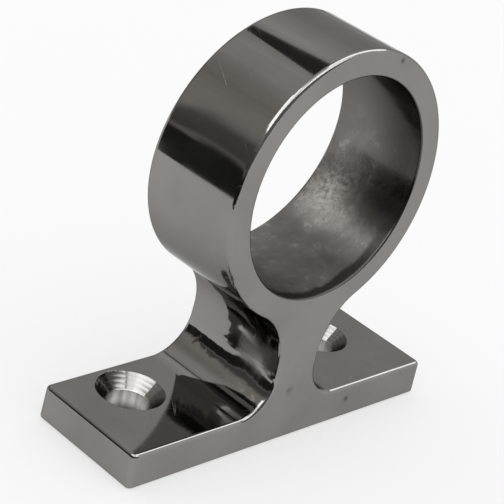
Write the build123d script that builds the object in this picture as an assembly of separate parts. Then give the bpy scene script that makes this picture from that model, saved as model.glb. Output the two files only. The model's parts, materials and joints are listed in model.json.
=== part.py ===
from build123d import *
import math
import os

os.makedirs("parts", exist_ok=True)

# Handrail bracket: base plate, waisted neck and rail ring, cast in one piece and polished.
# Millimetres. X runs along the base plate, Y along the rail, +Z up.
# The origin is the middle of the underside of the base plate.

# Rail and ring
rail_diameter = 25.4
rail_clearance = 0.4
bore_radius = (rail_diameter + rail_clearance) / 2
ring_wall = 3.0
ring_radius = bore_radius + ring_wall
rail_height = 31.0

# Base plate
base_length = 46.5
base_depth = 15.4
base_thickness = 4.2
corner_radius = 0.7

# Neck
neck_width = 6.2
foot_radius = 4.7
straight_neck = 1.0

# The two flat faces lean towards each other by the casting's draft.
draft_angle = 2.3

# Screw holes, one each side of the neck and close to the back edge
screw_spacing = 30.0
screw_hole_radius = 2.4
countersink_radius = 4.0
countersink_angle = 90.0
countersink_margin = 0.3

# Polished-over edges
ring_edge_radius = 0.5
bore_edge_radius = 0.3
rim_edge_radius = 0.25
underside_edge_radius = 0.35

SIZE_TOLERANCE = 0.01


def shoulder_radius():
    """Radius of the sweep that touches both the ring and the top of the neck's straight stretch."""
    drop = rail_height - (base_thickness + foot_radius + straight_neck)
    half_neck = neck_width / 2
    return (drop**2 + half_neck**2 - ring_radius**2) / (2 * (ring_radius - half_neck))


def half_depth_at(height):
    """Distance from the middle plane to either flat face, at a height above the underside."""
    return base_depth / 2 - height * math.tan(math.radians(draft_angle))


def screw_setback():
    """How far behind the middle plane the screws sit, with the margin left up to the back edge."""
    return half_depth_at(base_thickness) - ring_edge_radius - countersink_margin - countersink_radius


def corners_beside_neck(outline, lowest, highest):
    """The outline's inner corners where the straight neck meets its neighbours."""
    return [
        corner
        for corner in outline.vertices()
        if abs(abs(corner.X) - neck_width / 2) < SIZE_TOLERANCE and lowest < corner.Y < highest
    ]


def rail_view_outline():
    """The casting seen along the rail, without its bore."""
    upright = (Align.CENTER, Align.MIN)
    plate = Rectangle(base_length, base_thickness, align=upright)
    neck = Rectangle(neck_width, rail_height, align=upright)
    ring = Pos(0, rail_height) * Circle(ring_radius)
    outline = plate + neck + ring
    feet = corners_beside_neck(outline, 0, 2 * base_thickness)
    outline = fillet(feet, foot_radius)
    shoulders = corners_beside_neck(outline, rail_height - ring_radius, rail_height)
    return fillet(shoulders, shoulder_radius())


def drafted_slab():
    """The casting seen along the base plate: a slab that narrows upwards on both faces."""
    top = rail_height + ring_radius
    section = Polygon(
        (-half_depth_at(0), 0),
        (half_depth_at(0), 0),
        (half_depth_at(top), top),
        (-half_depth_at(top), top),
        align=None,
    )
    return extrude(Plane.YZ * section, base_length / 2, both=True)


def raw_casting():
    """Outline and draft together, with the plate's four upright corners rounded."""
    body = extrude(Plane.XZ * rail_view_outline(), base_depth / 2, both=True) & drafted_slab()
    plate_corners = [
        edge
        for edge in body.edges()
        if abs(edge.center().X) > base_length / 2 - SIZE_TOLERANCE
        and SIZE_TOLERANCE < edge.center().Z < base_thickness - SIZE_TOLERANCE
    ]
    return fillet(plate_corners, corner_radius)


def is_on_ring(edge, radius):
    """True for an edge that follows a circle of this radius round the rail's axis."""
    middle = edge @ 0.5
    return abs(math.hypot(middle.X, middle.Z - rail_height) - radius) < SIZE_TOLERANCE


def soften_outer_edges(body):
    """Round the long edges of both flat faces, and the edge round the underside."""
    underside = body.faces().sort_by(Axis.Z)[0]
    body = fillet(underside.edges(), underside_edge_radius)
    flat_faces = [
        face
        for face in body.faces()
        if abs(face.normal_at().Y) > math.cos(math.radians(2 * draft_angle))
    ]
    outline = [
        edge
        for face in flat_faces
        for edge in face.edges()
        if edge.center().Z > base_thickness - SIZE_TOLERANCE
    ]
    return fillet(outline, ring_edge_radius)


def rail_bore(body):
    """Cut the bore for the rail and round both of its mouths."""
    drill = Pos(0, 0, rail_height) * Rot(90, 0, 0) * Cylinder(bore_radius, 2 * base_depth)
    body = body - drill
    mouths = [edge for edge in body.edges() if is_on_ring(edge, bore_radius) and edge.length > 4 * bore_radius]
    return fillet(mouths, bore_edge_radius)


def screw_cutter(x):
    """Clearance hole and countersink for one screw, as a solid to take away."""
    cone_depth = (countersink_radius - screw_hole_radius) / math.tan(math.radians(countersink_angle / 2))
    shank = Cylinder(screw_hole_radius, 4 * base_thickness)
    cone = Pos(0, 0, base_thickness - cone_depth / 2) * Cone(screw_hole_radius, countersink_radius, cone_depth)
    return Pos(x, screw_setback(), 0) * (shank + cone)


def screw_holes(body):
    """Drill and countersink both screw holes and soften their rims."""
    for x in (-screw_spacing / 2, screw_spacing / 2):
        body = body - screw_cutter(x)
    rims = [
        edge
        for edge in body.edges().filter_by(GeomType.CIRCLE)
        if abs(edge.radius - countersink_radius) < SIZE_TOLERANCE
    ]
    return fillet(rims, rim_edge_radius)


bracket = screw_holes(rail_bore(soften_outer_edges(raw_casting())))
export_step(bracket, "parts/rail_bracket.step")
print("volume", round(bracket.volume), "size", bracket.bounding_box().size)
print("screws behind the middle by", round(screw_setback(), 3))
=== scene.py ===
import bpy
import json
import math
from mathutils import Matrix, Vector

# Polished cast handrail bracket on a white floor, inside a grey studio tent. Metres throughout.
# X runs along the base plate, Y along the rail and Z up.

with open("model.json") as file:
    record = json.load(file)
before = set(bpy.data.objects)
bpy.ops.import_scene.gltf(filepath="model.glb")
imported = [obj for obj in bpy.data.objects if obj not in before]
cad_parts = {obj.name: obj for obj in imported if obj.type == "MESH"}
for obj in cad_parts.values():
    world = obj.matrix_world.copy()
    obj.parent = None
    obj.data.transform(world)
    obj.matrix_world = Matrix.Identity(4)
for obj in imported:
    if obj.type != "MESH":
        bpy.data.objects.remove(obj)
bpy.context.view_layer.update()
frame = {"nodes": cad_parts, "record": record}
bracket = frame["nodes"]["rail_bracket"]

MM = 0.001


def millimetres(*numbers):
    """Coordinates given in millimetres, in metres."""
    return tuple(number * MM for number in numbers)


def scaled(colour, factor):
    """The colour made brighter or darker."""
    return tuple(factor * channel for channel in colour)


# The bracket's own sizes, as far as its finish depends on them. The countersink's radius takes in
# its rounded rim, and the front face's place is the one at the rail's height.
MOUNTS = {mount["name"]: mount for mount in frame["record"]["mounts"]}
RAIL_HEIGHT = MOUNTS["rail_bore"]["pos_m"][2]
BORE_RADIUS = MOUNTS["rail_bore"]["dims"]["r_mm"] * MM
SCREW_Y = MOUNTS["screw_holes"]["pos_m"][1]
SCREW_X = MOUNTS["screw_holes"]["dims"]["spacing_x_mm"] / 2 * MM
BASE_THICKNESS = 4.2 * MM
COUNTERSINK_RADIUS = 4.1 * MM
COUNTERSINK_BOTTOM = 2.6 * MM
FRONT_FACE_Y = -6.45 * MM
FACE_DRAFT = 0.04

# Marks on the casting: dents as (middle, radius, depth) and pits as (middle, radius)
NECK_DENT = millimetres(-3.1, -3.5, 9.9)
SHOULDER_DENT = millimetres(-13.5, -6.0, 22.7)
DENTS = [(NECK_DENT, 2.2 * MM, 0.40 * MM), (SHOULDER_DENT, 0.8 * MM, 0.14 * MM)]
DULL_DENT_RADIUS = 2.8 * MM
CASTING_PITS = [
    (millimetres(-0.5, -7.5, 6.3), 0.38 * MM),
    (millimetres(5.4, -5.9, 45.2), 0.28 * MM),
    (millimetres(10.2, -7.6, 2.4), 0.36 * MM),
]
ROUGH_PATCH = millimetres(11.4, 3.6, 25.0)
ROUGH_PATCH_RADIUS = 2.5 * MM

# Mottling as (blobs per metre, detail)
POLISHING_WAVES = (75.0, 1.0)
NECK_RIPPLES = (420.0, 2.0)
DENT_OUTLINE = (330.0, 2.0)
BORE_GRAIN = (1700.0, 4.0)
BORE_GRINDING = (1500.0, 2.0)
ROOM_STREAKS = (60.0, 2.0)

# Patches as (blobs per metre, detail, noise where they begin, noise where they are full)
SMUDGES = (120.0, 3.0, 0.35, 0.75)
WIPING = (420.0, 2.0, 0.30, 0.80)
PIT_CLUSTERS = (70.0, 0.0, 0.60, 0.80)
PIT_EDGES = (1100.0, 1.0, 0.15, 0.50)
BORE_CLOUDS = (230.0, 3.0, 0.30, 0.70)
BORE_FLECKS = (800.0, 3.0, 0.50, 0.75)
HOLE_SCORING = (1500.0, 1.0, 0.30, 0.70)

# Small pits in cells per metre, scratches as (turn, lines per metre, width), and the rings that
# turning leaves, in radians of their wave per metre
PIT_CELLS = 150.0
SCRATCHES = [((0.5, 0.3, 0.8), 900.0, 0.006), ((1.3, 0.9, 0.2), 1100.0, 0.005)]
TURNING_WAVE = 16000.0

# How far a streaky pattern is squeezed along each axis
ALONG_RAIL = (1.0, 0.25, 1.0)
ALONG_BORE = (1.0, 0.12, 1.0)
DOWN_THE_HOLE = (1.0, 1.0, 0.08)
ALONG_SCRATCH = (1.0, 0.02, 0.02)
ALONG_ROOM = (1.0, 0.06, 1.0)

# Colours as linear light
STEEL = (0.262, 0.257, 0.248)
SMUDGED_STEEL = scaled(STEEL, 0.88)
DULL_STEEL = scaled(STEEL, 1.3)
# Dark steel for casting pits, and for painted shade low in the screw holes
DARK_STEEL = scaled(STEEL, 0.35)
# Painted highlight in the screw holes, over their scored streaks
SCORED_HOLE_PAINTED_HIGHLIGHT = scaled(STEEL, 3.2)
EDGE_TINT = (0.5, 0.5, 0.5)
BORE_STEEL = (0.205, 0.197, 0.187)
BORE_CLOUD_STEEL = (scaled(BORE_STEEL, 0.80), scaled(BORE_STEEL, 1.15))
FLECK_STEEL = scaled(BORE_STEEL, 1.9)
# Painted shade over the upper part of the bore
UPPER_BORE_PAINTED_SHADE = scaled(BORE_STEEL, 0.72)
# Painted shade over the front part of the bore, darkening its reflection there
FRONT_BORE_PAINTED_SHADE = scaled(BORE_STEEL, 0.16)
# Painted shade in the bore's mouth
MOUTH_PAINTED_SHADE = scaled(BORE_STEEL, 0.3)
# Painted highlight on the bore's rough patch, paler than its roughness alone makes it
ROUGH_PATCH_PAINTED_HIGHLIGHT = scaled(BORE_STEEL, 2.8)
WHITE = (1.0, 1.0, 1.0)
SURROUNDINGS = 0.97
FLOOR_PAINT = 0.93
FLOOR_GLOW = (2 - FLOOR_PAINT) * SURROUNDINGS

# The tent round the bracket, as (place, colour) bands from its left foot over to its right one.
# Angles are above -X, as seen along the rail, and ends are places along it.
TENT_BANDS = [
    (0.03, (0.42, 0.40, 0.385)),
    (0.14, (0.50, 0.475, 0.455)),
    (0.23, (0.47, 0.44, 0.415)),
    (0.29, (0.40, 0.375, 0.35)),
    (0.34, (0.44, 0.415, 0.39)),
    (0.41, (0.60, 0.59, 0.57)),
    (0.49, (0.66, 0.655, 0.64)),
    (0.55, (0.56, 0.55, 0.54)),
    (0.59, (0.60, 0.59, 0.58)),
    (0.64, (0.80, 0.795, 0.78)),
    (0.80, (0.64, 0.635, 0.625)),
    (1.00, (0.78, 0.78, 0.77)),
]
TENT_RADIUS = 0.50
TENT_ANGLES = (4, 190)
TENT_ENDS = (0.10, 0.90)

# The low wall on the left, as bands from the floor up
WALL_BANDS = [
    (0.00, (0.026, 0.026, 0.026)),
    (0.36, (0.028, 0.028, 0.028)),
    (0.40, (0.30, 0.295, 0.29)),
    (0.45, (0.12, 0.117, 0.112)),
    (0.66, (0.16, 0.156, 0.15)),
    (0.82, (0.40, 0.385, 0.37)),
    (1.00, (0.48, 0.455, 0.43)),
]
WALL_TOP = 105 * MM
WALL_X = -98 * MM
WALL_ENDS = (-0.2, 77 * MM)

# Two dark bars overhead, the first one by its front and back edges
BAR_COLOUR = (0.05, 0.05, 0.047)
BAR_CORNERS = [
    [millimetres(-9, 35, 126), millimetres(42, 35, 126)],
    [millimetres(12, 80, 126), millimetres(14, 80, 126)],
]
THIN_BAR_RADIUS = 0.45
THIN_BAR_ANGLES = (102, 105)

# Windows as (name, angles, ends), and panes of skylight as (name, turns round the countersink,
# strength), with the slopes of the countersink's wall that show their edges
WINDOW_RADIUS = 0.48
WINDOWS = [("window_left", (24, 76), (-0.28, 0.06)), ("window_right", (100, 150), (-0.16, 0.06))]
WINDOW_STRENGTH = 3.7
PANES = [("pane_right", (4, 30), 3.6), ("pane_middle", (34, 50), 2.8), ("pane_left", (54, 80), 3.4)]
PANE_DISTANCE = 0.5
PANE_SLOPES = (38, 52)

# Flat cards across the rail as (name, colour, ends along X, bottom edge, top edge), edges in (Y, Z)
FAR_CARDS = [
    ("backdrop", (0.22, 0.22, 0.22), (-0.6, 0.6), (0.95, 0.05), (0.95, 0.6)),
    ("curtain", (0.26, 0.26, 0.257), (-0.9, 0.35), (-0.5, 0.02), (-0.35, 0.7)),
]

# The floor lies just below the bracket, so that the two flat faces don't share a plane
FLOOR_RADIUS = 4.0
FLOOR_Z = -0.02 * MM

# The photograph's viewpoint: from the front left and above, tilted clockwise. The sight is the
# direction from its place to its aim, as a unit vector.
CAMERA_PLACE = Vector((-145.67, -116.82, 111.07)) * MM
CAMERA_AIM = Vector((-3.28, 0.46, 20.44)) * MM
CAMERA_SIGHT = Vector((0.693, 0.571, -0.441))
CAMERA_LEAN = math.radians(14.32)
CAMERA_LENS = 134.0
SENSOR_WIDTH = 36.0

# Sockets of a Mix node that blends colours, whose names repeat
MIX_LOW, MIX_HIGH, MIX_RESULT = 6, 7, 2


class Value:
    """A number or a socket in a node tree, with arithmetic that adds the nodes it needs."""

    def __init__(self, tree, source):
        self.tree = tree
        self.source = source

    def node(self, kind, inputs=(), output=0, **settings):
        """A new node of this kind, with inputs by name or number; returns one of its outputs."""
        made = self.tree.nodes.new(kind)
        for name, setting in settings.items():
            setattr(made, name, setting)
        for key, value in dict(inputs).items():
            feed(self.tree, made.inputs[key], value)
        return Value(self.tree, made.outputs[output]) if made.outputs else None

    def math(self, operation, *others):
        return self.node("ShaderNodeMath", dict(enumerate((self, *others))), operation=operation)

    def __add__(self, other):
        return self.math("ADD", other)

    def __sub__(self, other):
        return self.math("SUBTRACT", other)

    def __rsub__(self, other):
        return Value(self.tree, other).math("SUBTRACT", self)

    def __mul__(self, other):
        return self.math("MULTIPLY", other)

    def __truediv__(self, other):
        return self.math("DIVIDE", other)

    __radd__ = __add__
    __rmul__ = __mul__

    def ramp(self, start, end):
        """0 before start, 1 past end, and smooth between."""
        inputs = {"Value": self, "From Min": start, "From Max": end}
        return self.node("ShaderNodeMapRange", inputs, interpolation_type="SMOOTHSTEP")

    def between(self, low, high):
        """The number low where this is 0 and high where it is 1."""
        return low + self * (high - low)

    def blend(self, low, high):
        """The colour low where this is 0 and high where it is 1."""
        inputs = {"Factor": self, MIX_LOW: low, MIX_HIGH: high}
        return self.node("ShaderNodeMix", inputs, output=MIX_RESULT, data_type="RGBA")


def feed(tree, socket, value):
    """Link a Value to a socket, or set the socket to a plain number or colour."""
    source = value.source if isinstance(value, Value) else value
    if isinstance(source, bpy.types.NodeSocket):
        tree.links.new(source, socket)
    elif isinstance(source, tuple) and len(source) == 3 and len(socket.default_value) == 4:
        socket.default_value = (*source, 1.0)
    else:
        socket.default_value = source


class Place:
    """A point of the surface that a material is on, with patterns that go by where it lies."""

    def __init__(self, tree):
        self.point = Value(tree, 0.0).node("ShaderNodeTexCoord", output="Object")
        split = self.point.node("ShaderNodeSeparateXYZ", {"Vector": self.point})
        self.x, self.y, self.z = (Value(tree, part) for part in split.source.node.outputs)

    def stretched(self, factors, turn=(0.0, 0.0, 0.0)):
        """The point turned and then scaled along each axis, for streaks and scratches."""
        inputs = {"Vector": self.point, "Rotation": turn}
        turned = self.point.node("ShaderNodeVectorRotate", inputs, rotation_type="EULER_XYZ")
        return turned.node("ShaderNodeVectorMath", {0: turned, 1: factors}, operation="MULTIPLY")

    def noise(self, per_metre, detail, roughness=0.5, at=None):
        """Soft noise from 0 to 1; per_metre is how many blobs fit in a metre."""
        inputs = {"Vector": at or self.point, "Scale": per_metre, "Detail": detail}
        inputs["Roughness"] = roughness
        return self.point.node("ShaderNodeTexNoise", inputs)

    def patches(self, per_metre, detail, begin, full, roughness=0.5, at=None):
        """Noise as patches: 0 up to one level of noise and 1 past another."""
        return self.noise(per_metre, detail, roughness, at).ramp(begin, full)

    def scratches(self, turn, per_metre, width):
        """Sparse thin straight lines, 1 on a scratch and 0 elsewhere."""
        lines = self.noise(per_metre, 0.0, at=self.stretched(ALONG_SCRATCH, turn))
        clusters = self.patches(per_metre / 6, 0.0, 0.60, 0.68)
        return (lines - 0.5).math("ABSOLUTE").ramp(width, 0.0) * clusters

    def near(self, middle, radius):
        """1 at a mark's middle, falling smoothly to 0 at about twice the radius."""
        inputs = {0: self.point, 1: middle}
        gap = self.point.node("ShaderNodeVectorMath", inputs, output="Value", operation="DISTANCE")
        return (gap * gap * (-1.0 / radius**2)).math("EXPONENT")


def new_material(name):
    """An empty node material, and a Value to start its nodes from."""
    material = bpy.data.materials.new(name)
    material.use_nodes = True
    material.node_tree.nodes.clear()
    return material, Value(material.node_tree, 0.0)


def distance_from(x, y):
    """Distance from the point where both coordinates are 0."""
    return (x * x + y * y).math("SQRT")


def distance_from_screw(place):
    """Distance from the nearer screw's axis."""
    return distance_from(place.x.math("ABSOLUTE") - SCREW_X, place.y - SCREW_Y)


def inside_bore(place):
    """1 on the bore's wall and 0 outside it."""
    from_rail = distance_from(place.x, place.z - RAIL_HEIGHT)
    return from_rail.ramp(BORE_RADIUS + 0.25 * MM, BORE_RADIUS + 0.05 * MM)


def inside_countersink(place):
    """1 in a countersink and in the hole below it."""
    within_rim = distance_from_screw(place).ramp(COUNTERSINK_RADIUS, COUNTERSINK_RADIUS - 0.2 * MM)
    return within_rim * place.z.ramp(BASE_THICKNESS + 1.0 * MM, BASE_THICKNESS + 0.5 * MM)


def on_neck(place):
    """1 on the neck, fading out into the ring and the base plate."""
    above_plate = place.z.ramp(BASE_THICKNESS, BASE_THICKNESS + 2.0 * MM)
    below_ring = place.z.ramp(RAIL_HEIGHT - 12.0 * MM, RAIL_HEIGHT - 16.0 * MM)
    return place.x.math("ABSOLUTE").ramp(8.0 * MM, 5.0 * MM) * above_plate * below_ring


def casting_pits(place):
    """1 in a pit of the casting: scattered small ones, and larger ones with ragged edges."""
    inputs = {"Vector": place.point, "Scale": PIT_CELLS}
    from_cell_middle = place.point.node("ShaderNodeTexVoronoi", inputs)
    pits = from_cell_middle.ramp(0.075, 0.02) * place.patches(*PIT_CLUSTERS)
    ragged = place.patches(*PIT_EDGES)
    for middle, radius in CASTING_PITS:
        pits = pits.math("MAXIMUM", place.near(middle, radius) * ragged)
    return pits


def fine_scratches(place):
    """1 on a fine scratch. They run in two directions."""
    first, second = (place.scratches(*lines) for lines in SCRATCHES)
    return first.math("MAXIMUM", second)


def dull_dent(place):
    """1 in the neck's dent, which is duller and paler than the polished face round it."""
    uneven = place.noise(*DENT_OUTLINE) - 0.5
    return (place.near(NECK_DENT, DULL_DENT_RADIUS) + uneven * 0.9).ramp(0.25, 0.85)


def outside_height(place, pits, fine):
    """Height of the outside: slow waves left by polishing, ripples on the neck, and small marks."""
    waves = place.noise(*POLISHING_WAVES) * (0.045 * MM)
    ripples = place.noise(*NECK_RIPPLES) * (on_neck(place) * (0.05 * MM) + 0.0015 * MM)
    first, second = (place.near(middle, radius) * depth for middle, radius, depth in DENTS)
    return waves + ripples - (first + second) - pits * (0.06 * MM) - fine * (0.0015 * MM)


def outside_finish(place):
    """Colour, roughness and height of the hand-polished outside with its small marks."""
    pits = casting_pits(place)
    fine = fine_scratches(place)
    dull = dull_dent(place)
    smudges = place.patches(*SMUDGES)
    wiping = place.patches(*WIPING, at=place.stretched(ALONG_RAIL))

    colour = smudges.blend(STEEL, SMUDGED_STEEL)
    colour = dull.blend(colour, DULL_STEEL)
    colour = pits.blend(colour, DARK_STEEL)
    roughness = smudges * 0.05 + wiping * 0.04 + fine * 0.3 + dull * 0.24 + 0.05
    return colour, roughness, outside_height(place, pits, fine)


def bore_colour(place, clouds, grain, rough_patch):
    """Mottled bore, with painted shade above, towards the front and in the mouth, and a painted highlight
    on a rough patch.
    """
    # Painted shade: the bore is darkened towards its top
    painted_upper_shade = place.z.ramp(RAIL_HEIGHT - 3.0 * MM, RAIL_HEIGHT + 6.0 * MM)
    above_floor = place.z.ramp(RAIL_HEIGHT - 12.0 * MM, RAIL_HEIGHT - 5.0 * MM)
    # Painted shade towards the bore's front, above its floor
    painted_front_shade = place.y.ramp(4.0 * MM, -4.5 * MM) * above_floor
    behind_face = place.y - (place.z - RAIL_HEIGHT) * FACE_DRAFT - FRONT_FACE_Y
    # Painted shade in a ragged band inside the front mouth
    painted_mouth_shade = (behind_face + clouds * (0.5 * MM)).ramp(1.9 * MM, 1.3 * MM)
    flecks = place.patches(*BORE_FLECKS, roughness=0.7)

    colour = clouds.blend(*BORE_CLOUD_STEEL)
    colour = (flecks * clouds).blend(colour, FLECK_STEEL)
    colour = painted_upper_shade.blend(colour, UPPER_BORE_PAINTED_SHADE)
    colour = (painted_front_shade * 0.85).blend(colour, FRONT_BORE_PAINTED_SHADE)
    # Painted highlight: the rough patch is made paler in colour, besides being rougher
    colour = (rough_patch * grain.ramp(0.3, 0.7)).blend(colour, ROUGH_PATCH_PAINTED_HIGHLIGHT)
    return painted_mouth_shade.blend(colour, MOUTH_PAINTED_SHADE)


def bore_finish(place):
    """Colour, roughness and height of the lightly ground bore, which is dullest on its floor."""
    clouds = place.patches(*BORE_CLOUDS)
    grain = place.noise(*BORE_GRAIN, roughness=0.65)
    grinding = place.noise(*BORE_GRINDING, at=place.stretched(ALONG_BORE))
    rough_patch = place.near(ROUGH_PATCH, ROUGH_PATCH_RADIUS)
    on_floor = place.z.ramp(RAIL_HEIGHT - 7.0 * MM, RAIL_HEIGHT - 13.0 * MM)

    colour = bore_colour(place, clouds, grain, rough_patch)
    roughness = grain * 0.16 + clouds * 0.05 + rough_patch * 0.2 + on_floor * 0.26 + 0.08
    height = (grain + grinding * 0.8) * (0.007 * MM) + clouds * (0.012 * MM)
    return colour, roughness, height


def with_screw_holes(place, colour, in_countersink, in_hole):
    """The colour, with a painted highlight in the scored holes and painted shade that darkens them
    towards the underside.
    """
    scoring = place.patches(*HOLE_SCORING, at=place.stretched(DOWN_THE_HOLE))
    # Painted shade low in the countersinks and holes
    painted_hole_shade = in_countersink * place.z.ramp(1.7 * MM, 0.0)
    # Painted highlight: the scored holes are made bright in colour
    colour = (in_hole * (scoring * 0.6 + 0.4)).blend(colour, SCORED_HOLE_PAINTED_HIGHLIGHT)
    return painted_hole_shade.blend(colour, DARK_STEEL)


def polished_steel():
    """Mirror-polished outside, matt and mottled inside the bore, turned countersinks."""
    material, start = new_material("polished_steel")
    place = Place(material.node_tree)
    in_bore = inside_bore(place)
    in_countersink = inside_countersink(place)
    in_hole = in_countersink * place.z.ramp(COUNTERSINK_BOTTOM + 0.2 * MM, COUNTERSINK_BOTTOM - 0.2 * MM)
    turning = (distance_from_screw(place) * TURNING_WAVE).math("SINE") * 0.5 + 0.5

    outer_colour, outer_roughness, outer_height = outside_finish(place)
    inner_colour, inner_roughness, inner_height = bore_finish(place)
    colour = in_bore.blend(outer_colour, inner_colour)
    colour = with_screw_holes(place, colour, in_countersink, in_hole)
    turned_roughness = turning * 0.10 + in_hole * 0.2 + 0.14
    roughness = in_countersink.between(outer_roughness, turned_roughness)
    roughness = in_bore.between(roughness, inner_roughness)
    height = in_bore.between(outer_height, inner_height) + in_countersink * (turning * (0.004 * MM))
    bump = start.node("ShaderNodeBump", {"Height": height, "Distance": 1.0, "Strength": 1.0})

    inputs = {"Base Color": colour, "Metallic": 1.0, "Roughness": roughness, "Normal": bump}
    inputs["Specular Tint"] = EDGE_TINT
    surface = start.node("ShaderNodeBsdfPrincipled", inputs)
    start.node("ShaderNodeOutputMaterial", {"Surface": surface})
    return material


def glowing(name, colour, strength=1.0):
    """Plain material for a card that shows at one even brightness in reflections."""
    material, start = new_material(name)
    light = start.node("ShaderNodeEmission", {"Color": colour, "Strength": strength})
    start.node("ShaderNodeOutputMaterial", {"Surface": light})
    return material


def white_floor():
    """Half paint, which shows a light shadow, and half glow: together as pale as the surroundings."""
    material, start = new_material("white_floor")
    painted = start.node("ShaderNodeBsdfDiffuse", {"Color": scaled(WHITE, FLOOR_PAINT)})
    glow = start.node("ShaderNodeEmission", {"Color": WHITE, "Strength": FLOOR_GLOW})
    surface = start.node("ShaderNodeMixShader", {0: 0.5, 1: painted, 2: glow})
    start.node("ShaderNodeOutputMaterial", {"Surface": surface})
    return material


def band_colours(value, bands):
    """Colour of a value from 0 to 1 through (place, colour) bands."""
    ramp = value.node("ShaderNodeValToRGB", {0: value})
    elements = ramp.source.node.color_ramp.elements
    while len(elements) < len(bands):
        elements.new(1.0)
    for element, (where, colour) in zip(elements, bands):
        element.position = where
        element.color = (*colour, 1.0)
    return ramp


def room_card(name, across, bands, waver, waves_per_metre, streaks):
    """A card that shows the room as soft bands; across gives 0 to 1 over the bands at a place."""
    material, start = new_material(name)
    place = Place(material.node_tree)
    wavering = (place.noise(waves_per_metre, 3.0) - 0.5) * waver
    colour = band_colours(across(place) + wavering, bands)
    shade = (place.noise(*ROOM_STREAKS, at=place.stretched(ALONG_ROOM)) - 0.5) * streaks + 1.0
    shaded = start.node("ShaderNodeVectorMath", {0: colour, 1: shade}, operation="MULTIPLY")
    light = start.node("ShaderNodeEmission", {"Color": shaded, "Strength": 1.0})
    start.node("ShaderNodeOutputMaterial", {"Surface": light})
    return material


def angle_round_rail(place):
    """0 at the left horizon, 0.5 straight up and 1 at the right horizon."""
    return (place.z - RAIL_HEIGHT).math("ARCTAN2", place.x * -1.0) / math.pi


def height_on_wall(place):
    """0 at the floor and 1 at the top of the low wall."""
    return place.z / WALL_TOP


def only_in_reflections(obj):
    """A studio card that polished metal shows, and that neither lights nor hides anything."""
    obj.visible_camera = False
    obj.visible_diffuse = False
    obj.visible_shadow = False
    obj.visible_transmission = False
    obj.visible_volume_scatter = False


def card(name, corners, material):
    """A flat or curved card through rows of corner points."""
    mesh = bpy.data.meshes.new(name)
    columns = len(corners[0])
    points = [point for row in corners for point in row]
    firsts = [r * columns + c for r in range(len(corners) - 1) for c in range(columns - 1)]
    faces = [(first, first + 1, first + columns + 1, first + columns) for first in firsts]
    mesh.from_pydata(points, [], faces)
    mesh.materials.append(material)
    obj = bpy.data.objects.new(name, mesh)
    bpy.context.scene.collection.objects.link(obj)
    only_in_reflections(obj)


def arch(name, radius, angles, ends, material, steps=24):
    """Part of a tunnel round the rail's axis, between two angles and two places along the rail."""
    first, last = angles
    rows = []
    for step in range(steps + 1):
        angle = math.radians(first + (last - first) * step / steps)
        x = -radius * math.cos(angle)
        z = RAIL_HEIGHT + radius * math.sin(angle)
        rows.append([(x, y, z) for y in ends])
    card(name, rows, material)


def skylight_pane(name, turns, material, steps=6):
    """A pane that the far wall of the left countersink shows, between two turns round it."""
    screw = Vector((-SCREW_X, SCREW_Y, BASE_THICKNESS))
    first, last = turns
    rows = []
    for step in range(steps + 1):
        turn = math.radians(first + (last - first) * step / steps)
        row = []
        for slope in map(math.radians, PANE_SLOPES):
            x = -math.cos(turn) * math.sin(slope)
            y = -math.sin(turn) * math.sin(slope)
            wall = Vector((x, y, math.cos(slope)))
            row.append(screw + PANE_DISTANCE * CAMERA_SIGHT.reflect(wall))
        rows.append(row)
    card(name, rows, material)


def build_floor():
    """A pale floor that reaches far past the edges of the picture."""
    bpy.ops.object.select_all(action="DESELECT")
    middle = (0, 0, FLOOR_Z)
    bpy.ops.mesh.primitive_circle_add(vertices=96, radius=FLOOR_RADIUS, fill_type="NGON", location=middle)
    floor = bpy.context.active_object
    floor.name = "floor"
    floor.data.materials.append(white_floor())


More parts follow.
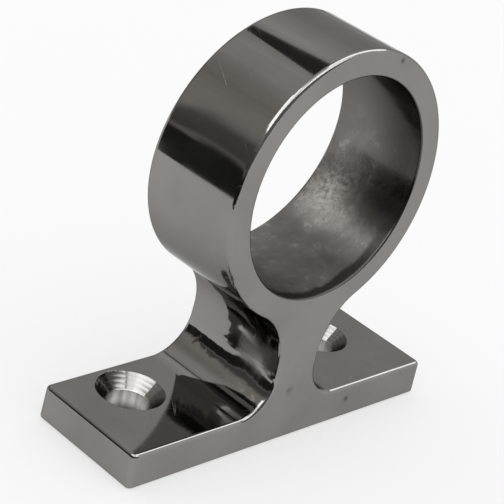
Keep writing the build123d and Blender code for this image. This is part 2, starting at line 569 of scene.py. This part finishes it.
def build_tent():
    """The tent is round the rail's axis, so its bands lie along the rail in the ring's side."""
    texture = {"waver": 0.02, "waves_per_metre": 9.0, "streaks": 0.25}
    tent = room_card("tent_card", angle_round_rail, TENT_BANDS, **texture)
    arch("tent", TENT_RADIUS, TENT_ANGLES, TENT_ENDS, tent)
    texture = {"waver": 0.22, "waves_per_metre": 75.0, "streaks": 0.3}
    wall = room_card("wall_card", height_on_wall, WALL_BANDS, **texture)
    card("low_wall", [[(WALL_X, y, z) for y in WALL_ENDS] for z in (0.0, WALL_TOP)], wall)


def build_bars():
    """A bar above the ring, narrower towards the back, and a thin one far off."""
    dark = glowing("bar_card", BAR_COLOUR)
    card("bar", BAR_CORNERS, dark)
    arch("thin_bar", THIN_BAR_RADIUS, THIN_BAR_ANGLES, TENT_ENDS, dark, steps=2)


def build_lights():
    """Bright windows that the rounded edges show, and bright panes that a countersink shows."""
    window = glowing("window_card", WHITE, WINDOW_STRENGTH)
    for name, angles, ends in WINDOWS:
        arch(name, WINDOW_RADIUS, angles, ends, window)
    for name, turns, strength in PANES:
        skylight_pane(name, turns, glowing(name + "_card", WHITE, strength))


def build_far_cards():
    """A grey backdrop far behind, and a grey curtain on the camera's side."""
    for name, colour, x_ends, bottom, top in FAR_CARDS:
        corners = [[(x, y, z) for x in x_ends] for y, z in (bottom, top)]
        card(name, corners, glowing(name + "_card", colour))


def build_world():
    """Even white light from all round."""
    world = bpy.data.worlds.new("white_studio")
    world.use_nodes = True
    background = world.node_tree.nodes["Background"]
    background.inputs["Color"].default_value = (*WHITE, 1.0)
    background.inputs["Strength"].default_value = SURROUNDINGS
    bpy.context.scene.world = world


def build_camera():
    """The camera at the photograph's viewpoint."""
    data = bpy.data.cameras.new("camera")
    data.sensor_width = SENSOR_WIDTH
    data.lens = CAMERA_LENS
    data.clip_start = 0.01
    data.clip_end = 20.0
    camera = bpy.data.objects.new("camera", data)
    turn = (CAMERA_AIM - CAMERA_PLACE).to_track_quat("-Z", "Y").to_matrix().to_4x4()
    camera.matrix_world = Matrix.Translation(CAMERA_PLACE) @ turn @ Matrix.Rotation(CAMERA_LEAN, 4, "Z")
    bpy.context.scene.collection.objects.link(camera)
    bpy.context.scene.camera = camera


bracket.data.materials.clear()
bracket.data.materials.append(polished_steel())
build_floor()
build_tent()
build_bars()
build_lights()
build_far_cards()
build_world()
build_camera()
bpy.context.scene.view_settings.view_transform = "Standard"
